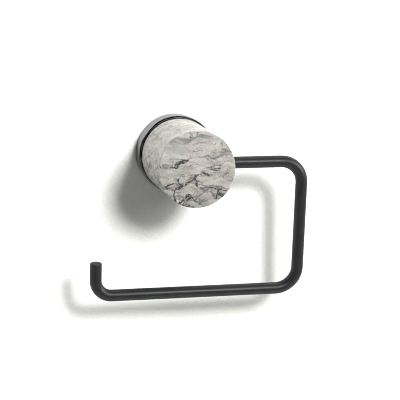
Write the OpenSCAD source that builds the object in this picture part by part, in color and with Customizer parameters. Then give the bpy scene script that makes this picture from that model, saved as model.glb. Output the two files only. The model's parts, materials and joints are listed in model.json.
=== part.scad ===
// Wall-mounted roll holder: a round flange carries a stone post, and a bent rod arm pivots
// in a bush through the side of the post.
// The wall is the plane y = 0, the post stands out along -Y, and +Z is up.

/* [Wall flange] */
// Outer diameter of the flange
flange_d = 54; // [52:1:70]
// Depth of the flange, from the wall to its front face
flange_t = 13; // [12.5:0.5:16]
// Thickness of the flange's front wall
flange_front = 3.5; // [3:0.1:4]
// Thickness of the flange's rim
flange_rim = 3; // [2.5:0.1:4]
// Radius of the flange's eased front edge
flange_edge = 1; // [0.4:0.1:1.5]

/* [Spacer ring] */
// Outer diameter of the dark ring behind the stone
spacer_d = 49; // [40:1:50]
// Thickness of the ring, which is the shadow gap that shows
spacer_t = 3; // [2:0.5:5]

/* [Stone post] */
// Diameter of the stone
stone_d = 51; // [50:1:56]
// Length of the stone
stone_l = 58; // [56:1:70]
// Radius of the stone's eased edges
stone_edge = 0.5; // [0.3:0.1:2]
// Diameter of the metal core bonded into the stone
core_d = 22; // [22:0.5:26]
// Depth of the core's hole, from the back of the stone
core_depth = 46; // [44:1:50]

/* [Arm] */
// Diameter of the arm's rod
rod_d = 8; // [7.5:0.1:8.5]
// Distance of the arm's axis from the wall
arm_out = 51; // [48:0.5:52]
// Distance from the post's centre to the outer upright, centre to centre
arm_reach = 78; // [60:1:110]
// Distance from the post's centre to the upturned tip, centre to centre
arm_back = 62; // [35:1:90]
// Drop from the top bar to the lower bar, centre to centre
arm_drop = 90; // [75:1:120]
// Rise of the upturned tip above the lower bar's centre line
tip_rise = 23.3; // [14:0.1:40]
// Centre-line radius of the two large bends
corner_r = 15; // [8:0.5:20]
// Centre-line radius of the bend under the tip
hook_r = 11; // [7:0.5:13]
// Radius of the eased edge round the tip's flat end
tip_edge = 0.7; // [0.3:0.1:1.5]
// Angle at which the arm rests, leaning in towards the wall
arm_lean = 5; // [0:1:10]

/* [Pivot] */
// Outer diameter of the arm's bush
bush_d = 12; // [11:0.5:13]
// Radial clearance of the rod in its bush and in the core
pivot_gap = 0.06; // [0.03:0.01:0.1]
// How far the rod runs past the post's centre line
rod_past = 8.6; // [7:0.1:8.8]
// Diameter left at the bottom of the rod's retaining groove
groove_d = 5; // [4:0.1:5.5]
// Distance of the friction ring from the post's centre line
ring_at = 17; // [12:0.5:20]

/* [Wall bracket] */
// Thickness of the bracket behind the flange
bracket_t = 7; // [6.8:0.1:7.2]
// Distance between the two wall screws
screw_spacing = 30; // [29:0.5:32]
// Diameter of the wall screw holes
screw_hole_d = 4.5; // [4:0.1:5]
// Diameter of the countersinks for the wall screws' heads
screw_head_d = 8.5; // [8:0.1:9]

/* [Hidden] */
$fn = 96;

// Extra length that lets a cut run clear through a face
eps = 1;
// Radial clearance of threads, pins and bonded pieces in their holes
fit_gap = 0.05;
// Clearance between pieces that turn past each other without touching
run_gap = 0.3;

// Stations along the post, as distances out from the wall
cavity_depth = flange_t - flange_front;
stone_back = flange_t + spacer_t;
core_end = stone_back + core_depth;

// Centre bolt, M6 with a button head, and the washers under it
bolt_d = 6;
bolt_l = 25;
bolt_head_d = 10.5;
bolt_head_h = 3.3;
bolt_dome_r = 6.2;
bolt_socket = 4;
bolt_socket_h = 1.9;
washer_d = 12;
washer_t = 1.2;
spring_washer_d = 11;
spring_washer_t = 1.4;
spring_washer_gap_deg = 12;
bolt_seat = cavity_depth - washer_t - spring_washer_t;

// Screw with a dog point that holds the arm in the core
retainer_d = 6;
retainer_l = 10;
retainer_socket = 3;
retainer_socket_h = 4;
dog_d = 4;
dog_l = 3;
dog_tip = arm_out - groove_d / 2 - run_gap;
groove_w = dog_d + 2 * run_gap;

// Pin that stops the post turning on the flange
pin_d = 3;
pin_l = 9;
pin_at = 8;
pin_start = cavity_depth + 0.5;

// Grub screw in the flange's underside, M4 with a cone point, and the groove it presses in
grub_d = 4;
grub_l = 4;
grub_cone_l = 1.2;
grub_tip_d = 1.6;
grub_socket = 2;
grub_socket_h = 1.8;
grub_sunk = 0.4;
grub_out = 4.3;
bracket_d = flange_d - 2 * flange_rim - 2 * run_gap;
rim_groove_depth = 1.2;
rim_groove_bottom = 1.8;
bracket_floor = 2.5;
bracket_recess_d = 18;
countersink_h = (screw_head_d - screw_hole_d) / 2;

// Rod, bush and friction ring
bush_start = 4;
bush_sunk = 1;
bush_l = stone_d / 2 - bush_sunk - bush_start;
bush_chamfer = 0.5;
ring_section = 1.24;
ring_groove_w = 1.8;
ring_groove_d = 5.6;
rod_end_gap = 0.4;

// Turns a piece drawn along +Z so that it stands out from the wall
module from_wall(distance = 0) {
    rotate([90, 0, 0])
        translate([0, 0, distance])
            children();
}

// Turns a piece drawn along +Z so that it runs along +X on the arm's pivot
module along_pivot(start = 0) {
    translate([start, -arm_out, 0])
        rotate([0, 90, 0])
            children();
}

// Disc with its far edge rounded
module eased_disc(d, h, edge) {
    rotate_extrude() {
        square([d / 2 - edge, h]);
        square([d / 2, h - edge]);
        translate([d / 2 - edge, h - edge])
            circle(edge);
    }
}

// Hexagonal socket, measured across its flats
module hex_socket(flats, h) {
    cylinder(d = flats / cos(30), h = h, $fn = 6);
}

// Flat ring
module ring(outer_d, inner_d, h) {
    difference() {
        cylinder(d = outer_d, h = h);
        translate([0, 0, -eps])
            cylinder(d = inner_d, h = h + 2 * eps);
    }
}

module wall_bracket() {
    color("silver")
        from_wall()
            difference() {
                cylinder(d = bracket_d, h = bracket_t);
                translate([0, 0, bracket_floor])
                    cylinder(d = bracket_recess_d, h = bracket_t);
                for (side = [-1, 1])
                    translate([side * screw_spacing / 2, 0, 0])
                        screw_hole();
                translate([0, 0, grub_out])
                    rim_groove();
            }
}

// Countersunk hole for one wall screw
module screw_hole() {
    translate([0, 0, -eps])
        cylinder(d = screw_hole_d, h = bracket_t + 2 * eps);
    translate([0, 0, bracket_t - countersink_h])
        cylinder(d1 = screw_hole_d, d2 = screw_head_d, h = countersink_h);
    translate([0, 0, bracket_t])
        cylinder(d = screw_head_d, h = eps);
}

// Sloping-sided groove round the bracket's rim
module rim_groove() {
    bottom = rim_groove_bottom / 2;
    inner = bracket_d / 2 - rim_groove_depth;
    rotate_extrude()
        polygon([
            [inner, -bottom],
            [inner + rim_groove_depth + eps, -bottom - rim_groove_depth - eps],
            [inner + rim_groove_depth + eps, bottom + rim_groove_depth + eps],
            [inner, bottom]
        ]);
}

module flange() {
    color("dimgray")
        difference() {
            from_wall()
                difference() {
                    eased_disc(flange_d, flange_t, flange_edge);
                    translate([0, 0, -eps])
                        cylinder(d = flange_d - 2 * flange_rim, h = cavity_depth + eps);
                    cylinder(d = bolt_d + 4 * fit_gap, h = flange_t + eps);
                    translate([0, -pin_at, 0])
                        cylinder(d = pin_d + 2 * fit_gap, h = flange_t + eps);
                }
            grub_axis(bracket_d / 2 - eps)
                cylinder(d = grub_d + 2 * fit_gap, h = flange_rim + 2 * eps + run_gap);
        }
}

// Places a piece drawn along +Z on the grub screw's axis, heading down and outwards
module grub_axis(radius) {
    translate([0, -grub_out, -radius])
        rotate([180, 0, 0])
            children();
}

module flange_grub_screw() {
    tip_radius = flange_d / 2 - grub_sunk - grub_l;
    color("black")
        grub_axis(tip_radius)
            difference() {
                union() {
                    cylinder(d1 = grub_tip_d, d2 = grub_d, h = grub_cone_l);
                    translate([0, 0, grub_cone_l])
                        cylinder(d = grub_d, h = grub_l - grub_cone_l);
                }
                translate([0, 0, grub_l - grub_socket_h])
                    hex_socket(grub_socket, grub_socket_h + eps);
            }
}

module spacer_ring() {
    color("black")
        from_wall(flange_t)
            ring(spacer_d, core_d + 4 * fit_gap, spacer_t);
}

module marble_post() {
    color("gainsboro")
        difference() {
            from_wall(stone_back)
                difference() {
                    stone_blank();
                    translate([0, 0, -eps])
                        cylinder(d = core_d + 4 * fit_gap, h = core_depth + eps);
                }
            along_pivot()
                cylinder(d = bush_d + 4 * fit_gap, h = stone_d);
        }
}

// Stone cylinder with both edges rounded
module stone_blank() {
    r = stone_d / 2;
    rotate_extrude() {
        square([r - stone_edge, stone_l]);
        translate([0, stone_edge])
            square([r, stone_l - 2 * stone_edge]);
        for (end = [stone_edge, stone_l - stone_edge])
            translate([r - stone_edge, end])
                circle(stone_edge);
    }
}

module post_core() {
    color("lightsteelblue")
        difference() {
            from_wall(flange_t)
                difference() {
                    cylinder(d = core_d, h = core_end - flange_t - run_gap);
                    translate([0, 0, -eps])
                        cylinder(d = bolt_d + 2 * fit_gap, h = arm_out - flange_t + eps);
                    translate([0, -pin_at, -eps])
                        cylinder(d = pin_d + 2 * fit_gap, h = pin_l + eps);
                }
            along_pivot(-rod_past - rod_end_gap)
                cylinder(d = rod_d + 2 * pivot_gap, h = core_d);
            along_pivot(bush_start)
                cylinder(d = bush_d + 2 * fit_gap, h = core_d);
        }
}

module centre_bolt() {
    color("gray")
        from_wall(bolt_seat - bolt_head_h)
            difference() {
                union() {
                    rotate([180, 0, 0])
                        translate([0, 0, -bolt_head_h])
                            button_head();
                    translate([0, 0, bolt_head_h])
                        cylinder(d = bolt_d, h = bolt_l);
                }
                translate([0, 0, -eps])
                    hex_socket(bolt_socket, bolt_socket_h + eps);
            }
}

// Domed head, flat side at z = 0
module button_head() {
    intersection() {
        cylinder(d = bolt_head_d, h = bolt_head_h);
        translate([0, 0, bolt_head_h - bolt_dome_r])
            sphere(r = bolt_dome_r);
    }
}

module plain_washer() {
    color("silver")
        from_wall(cavity_depth - washer_t)
            ring(washer_d, bolt_d + 4 * fit_gap, washer_t);
}

// Split ring, drawn as it sits when tightened flat
module spring_washer() {
    inner = bolt_d / 2 + 2 * fit_gap;
    color("silver")
        from_wall(bolt_seat)
            rotate([0, 0, spring_washer_gap_deg / 2])
                rotate_extrude(angle = 360 - spring_washer_gap_deg)
                    translate([inner, 0])
                        square([spring_washer_d / 2 - inner, spring_washer_t]);
}

module locating_pin() {
    color("silver")
        from_wall(pin_start)
            translate([0, -pin_at, 0])
                cylinder(d = pin_d, h = pin_l);
}

module arm_bush() {
    color("#1a1a1a")
        along_pivot(bush_start)
            difference() {
                union() {
                    cylinder(d = bush_d, h = bush_l - bush_chamfer);
                    translate([0, 0, bush_l - bush_chamfer])
                        cylinder(d1 = bush_d, d2 = bush_d - 2 * bush_chamfer, h = bush_chamfer);
                }
                translate([0, 0, -eps])
                    cylinder(d = rod_d + 2 * pivot_gap, h = bush_l + 2 * eps);
            }
}

module arm_retaining_screw() {
    color("gray")
        from_wall(dog_tip - dog_l - retainer_l)
            difference() {
                union() {
                    cylinder(d = retainer_d, h = retainer_l);
                    translate([0, 0, retainer_l])
                        cylinder(d = dog_d, h = dog_l);
                }
                translate([0, 0, -eps])
                    hex_socket(retainer_socket, retainer_socket_h + eps);
            }
}

module friction_ring() {
    color("darkslategray")
        along_pivot(ring_at)
            rotate_extrude()
                translate([(ring_groove_d + ring_section) / 2, 0])
                    circle(d = ring_section);
}

module arm() {
    color("#2b2b2d")
        translate([0, -arm_out, 0])
            rotate([arm_lean, 0, 0])
                union() {
                    pivot_rod();
                    translate([arm_reach - corner_r, 0, -corner_r])
                        bend(corner_r, 0);
                    translate([arm_reach, 0, corner_r - arm_drop])
                        cylinder(d = rod_d, h = arm_drop - 2 * corner_r);
                    translate([arm_reach - corner_r, 0, corner_r - arm_drop])
                        bend(corner_r, 270);
                    translate([hook_r - arm_back, 0, -arm_drop])
                        rotate([0, 90, 0])
                            cylinder(d = rod_d, h = arm_reach + arm_back - corner_r - hook_r);
                    translate([hook_r - arm_back, 0, hook_r - arm_drop])
                        bend(hook_r, 180);
                    translate([-arm_back, 0, hook_r - arm_drop])
                        eased_disc(rod_d, tip_rise - hook_r, tip_edge);
                }
}

// Straight part of the rod on the pivot, with its two grooves
module pivot_rod() {
    translate([-rod_past, 0, 0])
        rotate([0, 90, 0])
            difference() {
                cylinder(d = rod_d, h = rod_past + arm_reach - corner_r);
                translate([0, 0, rod_past - groove_w / 2])
                    ring(rod_d + eps, groove_d, groove_w);
                translate([0, 0, rod_past + ring_at - ring_groove_w / 2])
                    ring(rod_d + eps, ring_groove_d, ring_groove_w);
            }
}

// Quarter bend of the rod in the X-Z plane, turning from the given angle through 90 degrees
module bend(radius, start) {
    rotate([90, 0, 0])
        rotate([0, 0, start])
            rotate_extrude(angle = 90)
                translate([radius, 0])
                    circle(d = rod_d);
}

wall_bracket();
flange();
flange_grub_screw();
spacer_ring();
marble_post();
post_core();
centre_bolt();
plain_washer();
spring_washer();
locating_pin();
arm_bush();
arm_retaining_screw();
friction_ring();
arm();
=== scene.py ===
import json
import math

import bpy
from mathutils import Matrix, Vector


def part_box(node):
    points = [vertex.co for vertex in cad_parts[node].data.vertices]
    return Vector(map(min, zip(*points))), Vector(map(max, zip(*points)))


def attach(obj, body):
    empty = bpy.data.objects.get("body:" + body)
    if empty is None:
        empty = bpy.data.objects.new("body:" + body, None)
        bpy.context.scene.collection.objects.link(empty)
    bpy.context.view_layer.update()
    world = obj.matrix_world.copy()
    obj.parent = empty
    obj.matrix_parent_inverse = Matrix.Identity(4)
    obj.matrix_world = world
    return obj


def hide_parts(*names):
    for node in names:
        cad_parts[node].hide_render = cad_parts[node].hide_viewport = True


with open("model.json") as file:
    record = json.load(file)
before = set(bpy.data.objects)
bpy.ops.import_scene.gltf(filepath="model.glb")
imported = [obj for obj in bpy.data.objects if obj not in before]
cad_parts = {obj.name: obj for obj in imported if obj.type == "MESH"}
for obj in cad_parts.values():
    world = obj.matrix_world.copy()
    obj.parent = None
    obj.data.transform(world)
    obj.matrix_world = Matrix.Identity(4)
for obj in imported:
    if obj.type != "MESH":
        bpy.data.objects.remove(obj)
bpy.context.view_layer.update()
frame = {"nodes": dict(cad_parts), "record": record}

MM = 0.001


# Camera -------------------------------------------------------------------------------------

CAMERA_AZIMUTH = -13.08      # degrees, to the left of the post's axis
CAMERA_ELEVATION = 10.82     # degrees, above it
CAMERA_ROLL = 0.66           # degrees
CAMERA_DISTANCE = 1.0        # metres, from the plane through the frame's origin
CAMERA_LENS = 129.15         # millimetres
SENSOR_WIDTH = 36            # millimetres
AIM_RIGHT = 18.3 * MM        # how far the picture's centre is to the right of the frame's origin
AIM_DOWN = 33.5 * MM         # and how far below it
PIXEL_FILTER = 1.0           # pixels, a little narrower than usual for crisp edges


def outward(azimuth, elevation):
    """The direction from the object to a camera or lamp there. Azimuth 0 is straight in front."""
    a, e = math.radians(azimuth), math.radians(elevation)
    return Vector((math.sin(a) * math.cos(e), -math.cos(a) * math.cos(e), math.sin(e)))


def add_object(name, data):
    obj = bpy.data.objects.new(name, data)
    bpy.context.scene.collection.objects.link(obj)
    return obj


def add_camera():
    back = outward(CAMERA_AZIMUTH, CAMERA_ELEVATION)
    level = Vector((0, 0, 1)).cross(back).normalized()
    right = Matrix.Rotation(math.radians(CAMERA_ROLL), 3, back) @ level
    up = back.cross(right)
    data = bpy.data.cameras.new("camera")
    data.sensor_width = SENSOR_WIDTH
    data.lens = CAMERA_LENS
    camera = add_object("camera", data)
    centre = right * AIM_RIGHT - up * AIM_DOWN + back * CAMERA_DISTANCE
    axes = Matrix((right, up, back)).transposed().to_4x4()
    camera.matrix_world = Matrix.Translation(centre) @ axes
    bpy.context.scene.camera = camera


add_camera()


# Shader nodes --------------------------------------------------------------------------------

class Shader:
    """One material's node tree. Most methods add nodes and return an output socket."""

    def __init__(self, name):
        self.material = bpy.data.materials.new(name)
        self.material.use_nodes = True
        self.tree = self.material.node_tree
        self.surface = self.tree.nodes["Principled BSDF"]
        coordinates = self.tree.nodes.new("ShaderNodeTexCoord")
        self.place = self.scale(coordinates.outputs["Object"], 1 / MM)

    def node(self, kind, sockets=(), **settings):
        made = self.tree.nodes.new("ShaderNode" + kind)
        for key, value in settings.items():
            setattr(made, key, value)
        for key, value in dict(sockets).items():
            self.put(made.inputs[key], value)
        return made

    def put(self, socket, value):
        """Links a socket to the input, or sets it. None leaves the input as it is."""
        if isinstance(value, bpy.types.NodeSocket):
            self.tree.links.new(value, socket)
        elif isinstance(value, (tuple, list, Vector)) and socket.type == "RGBA":
            socket.default_value = (*value, 1.0)[:4]
        elif value is not None:
            socket.default_value = value

    def math(self, operation, a, b=None):
        made = self.node("Math", operation=operation)
        self.put(made.inputs[0], a)
        self.put(made.inputs[1], b)
        return made.outputs[0]

    def vector(self, operation, a, b, result=0):
        made = self.node("VectorMath", operation=operation)
        self.put(made.inputs[0], a)
        self.put(made.inputs[1], b)
        return made.outputs[result]

    def scale(self, vector, factor):
        """A vector or a colour, times a number."""
        made = self.node("VectorMath", operation="SCALE")
        self.put(made.inputs[0], vector)
        self.put(made.inputs["Scale"], factor)
        return made.outputs[0]

    def noise(self, place, size, detail=2.0, roughness=0.5, result="Fac", seed=0.0):
        """Noise with features about size millimetres across."""
        sockets = {"Vector": place, "W": seed, "Scale": 1 / size, "Detail": detail,
                   "Roughness": roughness}
        return self.node("TexNoise", sockets, noise_dimensions="4D").outputs[result]

    def warp(self, place, size, amount, seed):
        """place, pushed about by up to roughly amount millimetres."""
        push = self.noise(place, size, result="Color", seed=seed)
        push = self.vector("SUBTRACT", push, (0.5, 0.5, 0.5))
        return self.vector("ADD", place, self.scale(push, 2 * amount))

    def step(self, value, low, high, to_low=0.0, to_high=1.0, smooth=True):
        """value, carried from the span low to high onto the span to_low to to_high."""
        sockets = {"Value": value, "From Min": low, "From Max": high,
                   "To Min": to_low, "To Max": to_high}
        kind = "SMOOTHSTEP" if smooth else "LINEAR"
        return self.node("MapRange", sockets, interpolation_type=kind).outputs[0]

    def mix(self, factor, a, b):
        """Colour a where factor is 0, and b where it is 1."""
        made = self.node("Mix", data_type="RGBA")
        self.put(made.inputs["Factor"], factor)
        colours = [s for s in made.inputs if s.type == "RGBA"]
        self.put(colours[0], a)
        self.put(colours[1], b)
        return next(s for s in made.outputs if s.type == "RGBA")

    def bump(self, height, depth, normal=None):
        """Bump of depth millimetres where height goes from 0 to 1, on top of any earlier one."""
        sockets = {"Height": height, "Distance": depth * MM, "Strength": 1.0, "Normal": normal}
        return self.node("Bump", sockets).outputs[0]

    def show_instead(self, where, shader):
        """Shows another shader wherever where is 1."""
        both = self.node("MixShader", {0: where})
        self.put(both.inputs[1], self.surface.outputs[0])
        self.put(both.inputs[2], shader)
        self.put(self.tree.nodes["Material Output"].inputs["Surface"], both.outputs[0])

    def finish(self, **sockets):
        """Sets the surface's inputs, named with _ for each space, and returns the material."""
        for key, value in sockets.items():
            self.put(self.surface.inputs[key.replace("_", " ")], value)
        return self.material


def worn_edges(s, reach):
    """1 where an edge is worn and 0 elsewhere. Wear comes in from it by about reach millimetres."""
    rounded = s.node("Bevel", {"Radius": reach * MM}, samples=4).outputs[0]
    true_normal = s.node("NewGeometry").outputs["Normal"]
    turn = s.vector("DOT_PRODUCT", rounded, true_normal, result="Value")
    handled = s.step(s.noise(s.place, 1.2, detail=3), 0.38, 0.6)
    return s.math("MULTIPLY", s.step(turn, 0.88, 0.99, 1.0, 0.0), handled)


def powder_coat():
    """Black powder coat: a fine, slightly uneven grain, a low satin shine and rubbed edges."""
    black = (0.019, 0.0195, 0.0215)
    rubbed_black = (0.06, 0.06, 0.062)
    s = Shader("black_powder_coat")
    grain = s.noise(s.place, 0.35, detail=3, roughness=0.6)
    orange_peel = s.noise(s.place, 1.4, detail=1)
    blotch = s.noise(s.place, 9, detail=2)
    tone = s.step(grain, 0.3, 0.7, 0.75, 1.3)
    tone = s.math("MULTIPLY", tone, s.step(blotch, 0.3, 0.7, 0.92, 1.08))
    rubbed = worn_edges(s, 0.4)
    colour = s.mix(s.math("MULTIPLY", rubbed, 0.5), s.scale(black, tone), rubbed_black)
    rough = s.step(grain, 0.25, 0.75, 0.35, 0.45, smooth=False)
    rough = s.math("SUBTRACT", rough, s.math("MULTIPLY", rubbed, 0.08))
    glancing = s.node("LayerWeight", {"Blend": 0.5}).outputs["Facing"]
    gloss = s.step(glancing, 0.25, 0.7, 0.5, 0.1)
    normal = s.bump(orange_peel, 0.05)
    normal = s.bump(grain, 0.03, normal=normal)
    return s.finish(Base_Color=colour, Roughness=rough, Specular_IOR_Level=gloss, Normal=normal)


def metal(name, colour, rough, grain=0.4, bump=0.004, stretch=(1, 1, 1),
          grazing=1.0, patina=0.0, worn=None):
    """Bare or plated metal with fine handling marks. grain is their size and bump their depth,
    both in millimetres. stretch draws them out where it is below 1 and squeezes them where it is
    above. grazing is the metal's tint at glancing angles, patina the depth of its stains, and
    worn the colour of its edges."""
    spread = 0.06            # of the roughness
    s = Shader(name)
    place = s.vector("MULTIPLY", s.place, stretch)
    fine = s.noise(place, grain, detail=4, roughness=0.65)
    smear = s.noise(s.place, 6, detail=3)
    roughness = s.step(smear, 0.3, 0.7, rough - spread / 2, rough + spread / 2)
    roughness = s.math("ADD", roughness, s.step(fine, 0.3, 0.7, -spread / 2, spread / 2))
    tone = s.step(fine, 0.2, 0.8, 0.92, 1.06)
    stain = s.step(s.noise(s.place, 3.5, detail=4, seed=1), 0.35, 0.65, 1 - patina, 1 + patina / 2)
    tone = s.math("MULTIPLY", tone, stain)
    shade = s.scale(colour, tone)
    if worn:
        shade = s.mix(worn_edges(s, 0.3), shade, worn)
    return s.finish(Base_Color=shade, Metallic=1.0, Specular_Tint=(grazing, grazing, grazing),
                    Roughness=roughness, Normal=s.bump(fine, bump))


def plastic(name, colour, rough):
    """Plastic or rubber with a fine moulded grain."""
    spread = 0.08            # of the roughness
    s = Shader(name)
    fine = s.noise(s.place, 0.5, detail=3)
    tone = s.step(fine, 0.3, 0.7, 0.9, 1.1)
    roughness = s.step(fine, 0.3, 0.7, rough - spread / 2, rough + spread / 2)
    return s.finish(Base_Color=s.scale(colour, tone), Roughness=roughness,
                    Normal=s.bump(fine, 0.006))


def ridge(s, place, size, width, seed, detail=2.0):
    """Soft wandering lines, 1 on the line and 0 away from it. width is a share of the relief."""
    hills = s.noise(place, size, detail, seed=seed)
    height = s.math("ABSOLUTE", s.math("SUBTRACT", hills, 0.5))
    return s.step(height, 0.15 * width, width, 1.0, 0.0)


def seams(s, place, size, width, seed):
    """Sharp lines between irregular cells about size millimetres across. width is a socket or a
    number, in millimetres from the line's middle to its soft edge."""
    sockets = {"Vector": place, "W": seed, "Scale": 1 / size, "Randomness": 1.0}
    cells = s.node("TexVoronoi", sockets, voronoi_dimensions="4D", feature="DISTANCE_TO_EDGE")
    away = s.math("MULTIPLY", cells.outputs["Distance"], size)
    return s.step(s.math("DIVIDE", away, width), 0.35, 1.0, 1.0, 0.0)


CUT = (75, 10, 0)  # millimetres, where in the block of marble the post was cut


def marble():
    """Honed grey marble: level beds of soft cloud, fine wrinkles, and dark veins low down."""
    dark_beige, beige = (0.42, 0.385, 0.35), (0.605, 0.57, 0.525)
    dark_green_grey, green_grey = (0.43, 0.43, 0.39), (0.61, 0.61, 0.57)
    wrinkle_grey = (0.095, 0.09, 0.09)
    smoke_grey = (0.17, 0.17, 0.165)
    vein_black = (0.036, 0.031, 0.036)
    s = Shader("marble")

    # Height in the stone, from -1 at its bottom to 1 at its top
    low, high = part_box("marble_post")
    radius = (high.z - low.z) / 2 / MM
    height = s.math("DIVIDE", s.node("SeparateXYZ", {"Vector": s.place}).outputs["Z"], radius)

    # The stone's beds lie nearly level, so most patterns are drawn out from left to right.
    block = s.vector("ADD", s.place, CUT)
    folded = s.warp(s.warp(block, 11, 3.6, seed=1), 2.4, 0.7, seed=12)
    bedded = s.vector("MULTIPLY", folded, (0.36, 0.55, 1.0))

    # Clouds of beige and of a greenish grey
    cloud = s.noise(bedded, 4.5, detail=5, roughness=0.62, seed=2)
    hue = s.noise(bedded, 4.0, detail=2, seed=3)
    warm = s.mix(s.step(cloud, 0.36, 0.6), dark_beige, beige)
    cool = s.mix(s.step(cloud, 0.36, 0.6), dark_green_grey, green_grey)
    colour = s.mix(s.step(hue, 0.42, 0.58), warm, cool)
    # Painted light and shade: the stone's colour is made a little darker towards its bottom and a
    # little lighter towards its top, as light from above falls on it
    colour = s.scale(colour, s.step(height, -1.0, 0.8, 0.95, 1.06))

    # Crystals, and wrinkles as fine as hairs
    crystal = s.noise(folded, 0.8, detail=4, roughness=0.75, seed=4)
    colour = s.scale(colour, s.step(crystal, 0.3, 0.7, 0.86, 1.13))
    patchy = s.step(s.noise(bedded, 3.5, seed=6), 0.42, 0.58, 0.08, 0.7)
    long_ones = ridge(s, bedded, 3.6, 0.024, seed=5, detail=3)
    short_ones = ridge(s, bedded, 1.8, 0.028, seed=15, detail=2)
    wrinkles = s.math("MAXIMUM", long_ones, s.math("MULTIPLY", short_ones, 0.6))
    colour = s.mix(s.math("MULTIPLY", wrinkles, patchy), colour, wrinkle_grey)

    # Soft grey smoke along the beds of the upper half
    smoke = ridge(s, s.vector("MULTIPLY", bedded, (0.7, 1.0, 1.0)), 9, 0.06, seed=14)
    gathered = s.step(s.noise(bedded, 7, detail=1, seed=16), 0.42, 0.6, 0.0, 0.7)
    smoke = s.math("MULTIPLY", s.math("MULTIPLY", smoke, gathered), s.step(height, -0.3, 0.3))
    colour = s.mix(smoke, colour, smoke_grey)

    # Dark veins, broken here and there, that gather in the lower half
    swarm = s.noise(bedded, 5, detail=1, seed=7)
    swarm = s.math("SUBTRACT", swarm, s.math("MULTIPLY", height, 0.28))
    swarm = s.step(swarm, 0.54, 0.62)
    dashes = s.step(s.noise(folded, 1.6, detail=2, seed=8), 0.34, 0.5, 0.25, 1.0)
    width = s.step(s.noise(folded, 3.5, detail=1, seed=11), 0.35, 0.7, 0.3, 0.8)
    main = seams(s, s.vector("MULTIPLY", folded, (0.68, 0.6, 1.0)), 8.5, width, seed=9)
    branches = s.math("MULTIPLY", seams(s, bedded, 4.0, 0.35, seed=10), 0.6)
    veins = s.math("MAXIMUM", main, branches)
    veins = s.math("MULTIPLY", s.math("MULTIPLY", veins, dashes), swarm)
    colour = s.mix(s.math("MULTIPLY", veins, 0.95), colour, vein_black)

    rough = s.step(crystal, 0.3, 0.7, 0.3, 0.42)
    normal = s.bump(crystal, 0.006)
    return s.finish(Base_Color=colour, Roughness=rough, Normal=normal)


MATERIALS = {
    "black_powder_coat": powder_coat(),
    "black_chrome": metal("black_chrome", (0.19, 0.19, 0.2), 0.12, bump=0.001, grazing=0.8),
    "gloss_black": plastic("gloss_black", (0.012, 0.012, 0.012), 0.2),
    "marble": marble(),
    "zinc_steel": metal("zinc_steel", (0.56, 0.57, 0.56), 0.42, grain=0.8, bump=0.01,
                        stretch=(0.3, 1, 1), patina=0.13, worn=(0.7, 0.7, 0.69)),
    "black_oxide": metal("black_oxide", (0.06, 0.06, 0.065), 0.4, patina=0.15,
                         worn=(0.16, 0.16, 0.16)),
    "machined_aluminium": metal("machined_aluminium", (0.78, 0.79, 0.8), 0.3,
                                stretch=(1, 8, 1), patina=0.06, worn=(0.86, 0.86, 0.87)),
    "acetal": plastic("acetal", (0.02, 0.02, 0.02), 0.45),
    "nitrile": plastic("nitrile", (0.02, 0.02, 0.02), 0.7),
}

for part in frame["record"]["subparts"]:
    mesh = frame["nodes"][part["node"]].data
    mesh.materials.clear()
    mesh.materials.append(MATERIALS[part["material_slot"]])


# Screws with real threads --------------------------------------------------------------------

SIDES = 48                   # points round a screw, a multiple of 6 for its hexagonal socket
RINGS_PER_TURN = 12          # of the thread
CREST = 0.125                # width of the thread's flat crest, as a share of its pitch
FLANK = 0.375                # width of each flank, likewise
THREAD_HEIGHT = 0.61         # likewise
DRILL_POINT = 0.3            # depth of the cone under a socket, as a share of the socket's width
SHARP_ANGLE = 35             # degrees, above which an edge shades as a sharp one


def thread_depth(height, angle, thread):
    """How far the surface lies below the crest of the thread, in millimetres."""
    start, end, pitch = thread
    if not start < height < end:
        return 0.0
    turn = (height / pitch - angle / (2 * math.pi)) % 1.0
    share = min(max((abs(turn - 0.5) - CREST / 2) / FLANK, 0.0), 1.0)
    fade = min((height - start) / pitch, (end - height) / pitch, 1.0)
    return THREAD_HEIGHT * pitch * share * fade


def hexagon(angle, flats):
    """Radius of a hexagon at an angle, from the distance across its flats."""
    return flats / 2 / math.cos((angle + math.pi / 6) % (math.pi / 3) - math.pi / 6)


def ring_heights(outline, thread):
    """Heights of the rings: every corner of the outline, and close steps along the thread."""
    start, end, pitch = thread
    heights = {height for height, radius in outline}
    steps = round((end - start) / pitch * RINGS_PER_TURN)
    heights |= {start + (end - start) * i / steps for i in range(steps + 1)}
    return sorted(heights)


def outline_radius(outline, height):
    """The outline's radius at a height, straight from one of its points to the next."""
    for (low, low_radius), (high, high_radius) in zip(outline, outline[1:]):
        if low <= height <= high and high > low:
            return low_radius + (high_radius - low_radius) * (height - low) / (high - low)
    return outline[-1][1]


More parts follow.
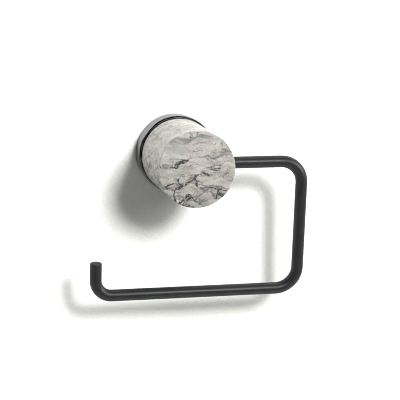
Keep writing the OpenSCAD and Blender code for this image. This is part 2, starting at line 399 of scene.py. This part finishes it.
def add_screw(node, along, outline, thread, socket):
    """A screw in place of a CAD node. along points from its socket to its tip. outline holds
    (height, radius) pairs from the socket's mouth to the tip, where height is 0. thread is its
    start and end, as heights, and its pitch. socket is its size across flats and its depth."""
    low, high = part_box(node)
    along = Vector(along)
    middle = (low + high) / 2
    tip_place = middle + along * (abs((high - low).dot(along)) / 2)
    flats, socket_depth = socket
    angles = [2 * math.pi * i / SIDES for i in range(SIDES)]
    mouth = outline[0][0]
    rings = [[(hexagon(a, flats), mouth + socket_depth) for a in angles],
             [(hexagon(a, flats), mouth) for a in angles]]
    for height in ring_heights(outline, thread):
        radius = outline_radius(outline, height)
        rings.append([(radius - thread_depth(height, a, thread), height) for a in angles])

    points = [(radius * math.cos(angle), radius * math.sin(angle), height)
              for ring in rings
              for angle, (radius, height) in zip(angles, ring)]
    last_ring = len(points) - SIDES
    drill_point = len(points)
    tip = drill_point + 1
    points.append((0, 0, mouth + socket_depth + DRILL_POINT * flats))
    points.append((0, 0, outline[-1][0]))
    faces = []
    for i in range(SIDES):
        j = (i + 1) % SIDES
        faces.append((drill_point, j, i))
        faces.append((tip, last_ring + i, last_ring + j))
        for ring in range(len(rings) - 1):
            a, b = ring * SIDES, (ring + 1) * SIDES
            faces.append((a + i, a + j, b + j, b + i))
    mesh = bpy.data.meshes.new(node + "_threaded")
    mesh.from_pydata(points, [], faces)
    axes = along.to_track_quat("Z", "Y").to_matrix().to_4x4()
    mesh.transform(Matrix.Translation(tip_place) @ axes @ Matrix.Scale(MM, 4))
    mesh.shade_smooth()
    mesh.set_sharp_from_angle(angle=math.radians(SHARP_ANGLE))
    mesh.materials.append(MATERIALS["black_oxide"])
    piece = add_object(node + "_threaded", mesh)
    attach(piece, "post")
    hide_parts(node)


def dome(top, radius, drops):
    """Outline of a button head's top. It is part of a ball, and drops are how far its points lie
    below the ball's top."""
    return [(top + drop, math.sqrt(2 * radius * drop - drop ** 2)) for drop in drops]


# Outlines in millimetres, as add_screw takes them
CENTRE_BOLT = dome(-28.3, 6.2, (0.5, 0.9, 1.4, 2.0, 2.7)) + [
    (-25.2, 5.25), (-25.08, 5.25), (-25, 5.15),          # the head's rim and underside
    (-25, 3), (-0.8, 3), (0, 2.2),                       # M6 shank with a chamfered tip
]
RETAINING_SCREW = [
    (-13, 2.2), (-12.2, 3), (-3.6, 3), (-3, 2.4),        # M6 thread, chamfered at both ends
    (-3, 2), (-0.3, 2), (0, 1.7),                        # dog point
]
GRUB_SCREW = [
    (-4, 1.5), (-3.5, 2), (-1.2, 2), (0, 0.8),           # M4 thread with a cone point
]

add_screw("centre_bolt", (0, -1, 0), CENTRE_BOLT, thread=(-23.5, -0.1, 1.0), socket=(4, 1.5))
add_screw("arm_retaining_screw", (0, -1, 0), RETAINING_SCREW, thread=(-12.9, -3.2, 1.0), socket=(3, 4))
add_screw("flange_grub_screw", (0, 0, 1), GRUB_SCREW, thread=(-3.9, -1.0, 0.7), socket=(2, 1.8))


# Stage ---------------------------------------------------------------------------------------

WALL_SIDE = 6.0              # metres
WALL_GAP = 0.1 * MM          # keeps the wall off the object's back face
HOLE_MARGIN = 1.5 * MM       # how far the flange reaches past the edge of the wall's hole
HOLE_STEPS = 96              # points round the hole
FLOOR_DROP = 0.9             # metres, from the frame's origin down to the floor


def one_sided(name, colour):
    """Matt paint that shows from its front only, so that the object can be seen from behind."""
    s = Shader(name)
    rolled = s.noise(s.place, 1.9, detail=4, roughness=0.7)
    tone = s.step(rolled, 0.3, 0.7, 0.955, 1.03)
    clear = s.node("BsdfTransparent").outputs[0]
    s.show_instead(s.node("NewGeometry").outputs["Backfacing"], clear)
    return s.finish(Base_Color=s.scale(colour, tone), Roughness=0.9, Specular_IOR_Level=0.1,
                    Normal=s.bump(rolled, 0.5))


def add_wall():
    """A wall with a hole behind the flange, so that light from behind reaches the bracket."""
    low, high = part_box("flange")
    hole = (high.x - low.x) / 2 - HOLE_MARGIN
    mesh = bpy.data.meshes.new("wall")
    points, faces = [], []
    for i in range(HOLE_STEPS):
        angle = 2 * math.pi * i / HOLE_STEPS
        right, up = math.cos(angle), math.sin(angle)
        points.append((hole * right, WALL_GAP, hole * up))
        reach = WALL_SIDE / 2 / max(abs(right), abs(up))
        points.append((reach * right, WALL_GAP, reach * up))
    for i in range(HOLE_STEPS):
        a, b = 2 * i, 2 * ((i + 1) % HOLE_STEPS)
        faces.append((a, a + 1, b + 1, b))
    mesh.from_pydata(points, [], faces)
    mesh.materials.append(one_sided("wall_paint", (0.93, 0.935, 0.895)))
    wall = add_object("wall", mesh)
    return wall


def evenly_lit(name, colour, shown):
    """Matt paint that the camera sees evenly lit, at the brightness shown."""
    s = Shader(name)
    glow = s.node("Emission", {"Color": (shown, shown, shown)}).outputs[0]
    s.show_instead(s.node("LightPath").outputs["Is Camera Ray"], glow)
    return s.finish(Base_Color=colour, Roughness=0.9)


def add_floor():
    half = WALL_SIDE / 2
    mesh = bpy.data.meshes.new("floor")
    corners = [(-half, -WALL_SIDE), (half, -WALL_SIDE), (half, WALL_SIDE), (-half, WALL_SIDE)]
    mesh.from_pydata([(x, y, -FLOOR_DROP) for x, y in corners], [], [(0, 1, 2, 3)])
    mesh.materials.append(evenly_lit("floor_paint", (0.85, 0.85, 0.84), shown=0.7))
    floor = add_object("floor", mesh)


wall = add_wall()
add_floor()


# Light ---------------------------------------------------------------------------------------

KEY = {"azimuth": 12.91, "elevation": 21.78, "distance": 1.24, "size": 0.27}
POOL = {"azimuth": -25, "elevation": 10, "distance": 1.5, "radius": 45 * MM, "level": 0.65}
POOL_LAMP_RADIUS = 0.05      # metres
SHADOW_LEFT = 24 * MM        # how far the shadow of the arm's tip lies to the left of the arm
SHADOW_DOWN = 1 * MM         # and how far below it


def link_light(lamp, state, *objects):
    """state is INCLUDE, so that the lamp lights only these objects, or EXCLUDE, for all others."""
    receivers = bpy.data.collections.new(lamp.name + "_receivers")
    for obj in objects:
        receivers.objects.link(obj)
    for entry in receivers.collection_objects:
        entry.light_linking.link_state = state
    lamp.light_linking.receiver_collection = receivers


def aim(lamp, place, azimuth, elevation, distance):
    """Puts a lamp at a distance from a place and turns it to face that place."""
    direction = outward(azimuth, elevation)
    lamp.location = Vector(place) + direction * distance
    lamp.rotation_mode = "QUATERNION"
    lamp.rotation_quaternion = direction.to_track_quat("Z", "Y")


def add_lamp(name, azimuth, elevation, distance, size, level):
    """A round soft box that faces the frame's origin. A matt white card there, turned to the
    lamp, would have a brightness of about level."""
    data = bpy.data.lights.new(name, "AREA")
    data.shape = "DISK"
    data.size = size
    data.energy = level * (math.pi * distance) ** 2
    lamp = add_object(name, data)
    aim(lamp, (0, 0, 0), azimuth, elevation, distance)
    return lamp


def add_pool(name, azimuth, elevation, distance, centre, radius, level):
    """A soft round pool of light on the wall. centre is its place there, right and up."""
    data = bpy.data.lights.new(name, "SPOT")
    data.spot_size = 2 * math.atan(radius / distance)
    data.spot_blend = 1.0
    data.shadow_soft_size = POOL_LAMP_RADIUS
    data.energy = level * (2 * math.pi * distance) ** 2
    lamp = add_object(name, data)
    aim(lamp, (centre[0], 0, centre[1]), azimuth, elevation, distance)
    return lamp


flange = frame["nodes"]["flange"]
spacer = frame["nodes"]["spacer_ring"]
arm = frame["nodes"]["arm"]

# In every list of soft boxes, each is a name, azimuth, elevation, distance, size and level.
link_light(add_lamp("key", level=0.45, **KEY), "EXCLUDE", flange, spacer)
link_light(add_lamp("wall_key", level=0.62, **KEY), "INCLUDE", wall)
for box in (
    ("wall_side", 42, 32, 1.6, 1.0, 0.4),
    ("wall_fill", 0, 30, 1.6, 1.6, 0.07),
):
    link_light(add_lamp(*box), "INCLUDE", wall)

# A pool of light low on the left, which thins the shadow of the arm's tip
arm_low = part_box("arm")[0]
tip_shadow = (arm_low.x - SHADOW_LEFT, arm_low.z - SHADOW_DOWN)
link_light(add_pool("wall_pool", centre=tip_shadow, **POOL), "INCLUDE", wall)

# A soft box for the stone and the arm, three that leave the arm out and two for it alone
link_light(add_lamp("right_low", 60, 15, 1.6, 1.0, 0.62), "EXCLUDE", wall, flange, spacer)
for box in (
    ("right_high", 50, 50, 1.6, 0.8, 0.30),
    ("overhead", 12, 75, 1.4, 0.45, 0.115),
    ("ceiling", 0, 78, 1.6, 1.2, 0.1),
):
    link_light(add_lamp(*box), "EXCLUDE", wall, flange, spacer, arm)
for box in (
    ("arm_overhead", 8, 76, 1.5, 0.8, 0.055),
    ("arm_left", -70, -5, 1.6, 1.4, 0.1),
):
    link_light(add_lamp(*box), "INCLUDE", arm)

# Boxes that the polished flange and its black ring mirror
for box in (
    ("left_glow", -66, 37, 1.6, 0.9, 0.35),
    ("right_glow", 60, 20, 1.8, 2.4, 0.3),
):
    link_light(add_lamp(*box), "INCLUDE", flange, spacer)

# Light from behind. The wall's front stops it, except at the hole, where it reaches the bracket.
add_lamp("behind", 165, 8, 1.8, 2.2, 0.75)


def add_room(fill, backdrop):
    """Faint light from all round, and a pale backdrop that only the camera sees."""
    world = bpy.data.worlds.new("room")
    world.use_nodes = True
    nodes, links = world.node_tree.nodes, world.node_tree.links
    room = nodes["Background"]
    room.inputs["Color"].default_value = (fill, fill, fill, 1)
    pale = nodes.new("ShaderNodeBackground")
    pale.inputs["Color"].default_value = (backdrop, backdrop, backdrop, 1)
    seen = nodes.new("ShaderNodeLightPath").outputs["Is Camera Ray"]
    both = nodes.new("ShaderNodeMixShader")
    links.new(seen, both.inputs[0])
    links.new(room.outputs[0], both.inputs[1])
    links.new(pale.outputs[0], both.inputs[2])
    links.new(both.outputs[0], nodes["World Output"].inputs["Surface"])
    bpy.context.scene.world = world


add_room(fill=0.03, backdrop=0.8)
bpy.context.scene.view_settings.view_transform = "Standard"
bpy.context.scene.cycles.filter_width = PIXEL_FILTER
